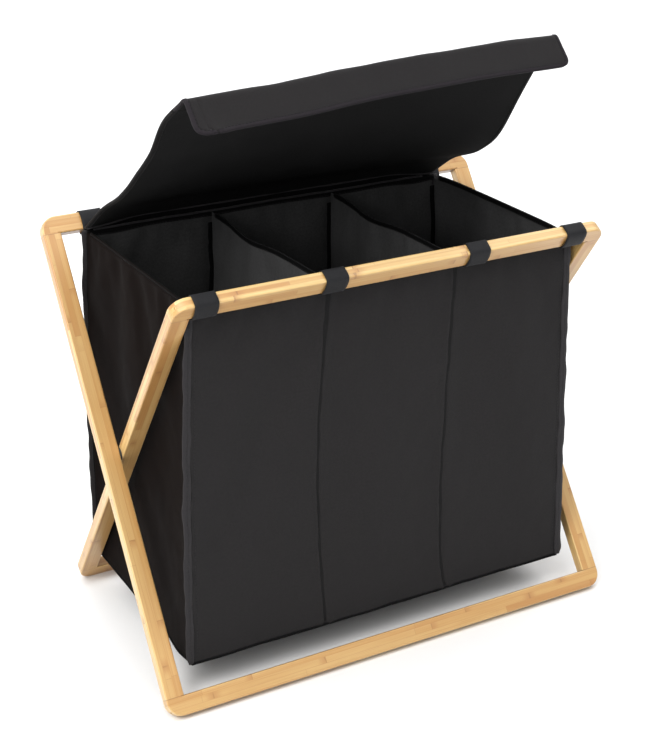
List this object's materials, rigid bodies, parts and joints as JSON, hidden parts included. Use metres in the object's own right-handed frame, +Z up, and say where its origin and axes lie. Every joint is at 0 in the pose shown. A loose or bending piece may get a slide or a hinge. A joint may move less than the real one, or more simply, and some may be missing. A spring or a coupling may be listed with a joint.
{
  "type": "laundry hamper",
  "caption": "Folding laundry hamper with a divided black fabric bag hung by loops between crossed bamboo frames, under a hinged fabric lid with a front flap.",
  "frame": {"origin": "on the floor under the middle of the hamper, midway between the feet of the two frames", "axes": "+X along the rails to the right, +Y to the back, where the lid is sewn on, +Z up"},
  "size_m": [0.66, 0.3936, 0.7715],
  "materials": {
    "bamboo": "clear matt lacquer over laminated bamboo",
    "bag_cloth": "coated polyester weave, black, faint sheen",
    "lid_cloth": "coated polyester weave, black, faint sheen",
    "binding": "ribbed black binding tape",
    "webbing": "black woven loop",
    "hook_tape": "black hook and loop tape",
    "steel": "zinc plated",
    "nylon": "white nylon"
  },
  "bodies": {
    "outer_frame": {"outer_top_rail": "bamboo", "outer_bottom_rail": "bamboo", "outer_left_leg": "bamboo", "outer_right_leg": "bamboo", "outer_frame_dowels": "bamboo", "pivot_bolts": "steel", "pivot_inserts": "steel", "pivot_spacers": "nylon", "pivot_washers": "steel", "rear_loop_1": "webbing", "rear_loop_2": "webbing", "rear_loop_3": "webbing", "rear_loop_4": "webbing", "rear_loop_tapes": "hook_tape"},
    "inner_frame": {"inner_top_rail": "bamboo", "inner_bottom_rail": "bamboo", "inner_left_leg": "bamboo", "inner_right_leg": "bamboo", "inner_frame_dowels": "bamboo", "front_loop_1": "webbing", "front_loop_2": "webbing", "front_loop_3": "webbing", "front_loop_4": "webbing", "front_loop_tapes": "hook_tape"},
    "bag_back": {"back_wall": "bag_cloth", "rear_hem": "binding", "back_piping": "binding", "left_wall": "bag_cloth", "right_wall": "bag_cloth", "left_divider": "bag_cloth", "right_divider": "bag_cloth", "left_base": "bag_cloth", "centre_base": "bag_cloth", "right_base": "bag_cloth", "left_base_piping": "binding", "right_base_piping": "binding", "left_hem": "binding", "right_hem": "binding", "left_divider_hem": "binding", "right_divider_hem": "binding"},
    "bag_front": {"front_wall": "bag_cloth", "front_hem": "binding", "front_piping": "binding"},
    "lid_rear": {"lid_rear": "lid_cloth", "lid_rear_binding": "binding"},
    "lid_front": {"lid_front": "lid_cloth", "lid_front_binding": "binding"},
    "lid_flap": {"lid_flap": "lid_cloth", "flap_binding": "binding"}
  },
  "joints": [
    {"name": "frame_fold", "type": "hinge", "parent": "outer_frame", "child": "inner_frame", "pos_m": [0, 0, 0.27587], "axis": [-1, 0, 0], "range_deg": [0, 58], "deforming": ["left_wall", "right_wall", "left_divider", "right_divider", "left_base", "centre_base", "right_base", "left_base_piping", "right_base_piping", "left_hem", "right_hem", "left_divider_hem", "right_divider_hem", "lid_rear", "lid_rear_binding"]},
    {"name": "bag_back_swing", "type": "hinge", "parent": "outer_frame", "child": "bag_back", "pos_m": [0, 0.1595, 0.525], "axis": [-1, 0, 0], "range_deg": [0, 29]},
    {"name": "bag_front_swing", "type": "hinge", "parent": "inner_frame", "child": "bag_front", "pos_m": [0, -0.1595, 0.525], "axis": [-1, 0, 0], "range_deg": [-29, 0]},
    {"name": "lid_open", "type": "hinge", "parent": "bag_back", "child": "lid_rear", "pos_m": [0, 0.1595, 0.527], "axis": [-1, 0, 0], "range_deg": [-22.5, 45.5]},
    {"name": "lid_bend", "type": "hinge", "parent": "lid_rear", "child": "lid_front", "pos_m": [0, 0.04763, 0.58278], "axis": [-1, 0, 0], "range_deg": [-19.1, 38.6]},
    {"name": "flap_fold", "type": "hinge", "parent": "lid_front", "child": "lid_flap", "pos_m": [0, -0.13811, 0.77179], "axis": [-1, 0, 0], "range_deg": [0, 90]}
  ],
  "couplings": [
    {"joint": "bag_back_swing", "follows": "frame_fold", "ratio": 0.5},
    {"joint": "bag_front_swing", "follows": "frame_fold", "ratio": -0.5},
    {"joint": "lid_bend", "follows": "lid_open", "ratio": 0.84444}
  ]
}
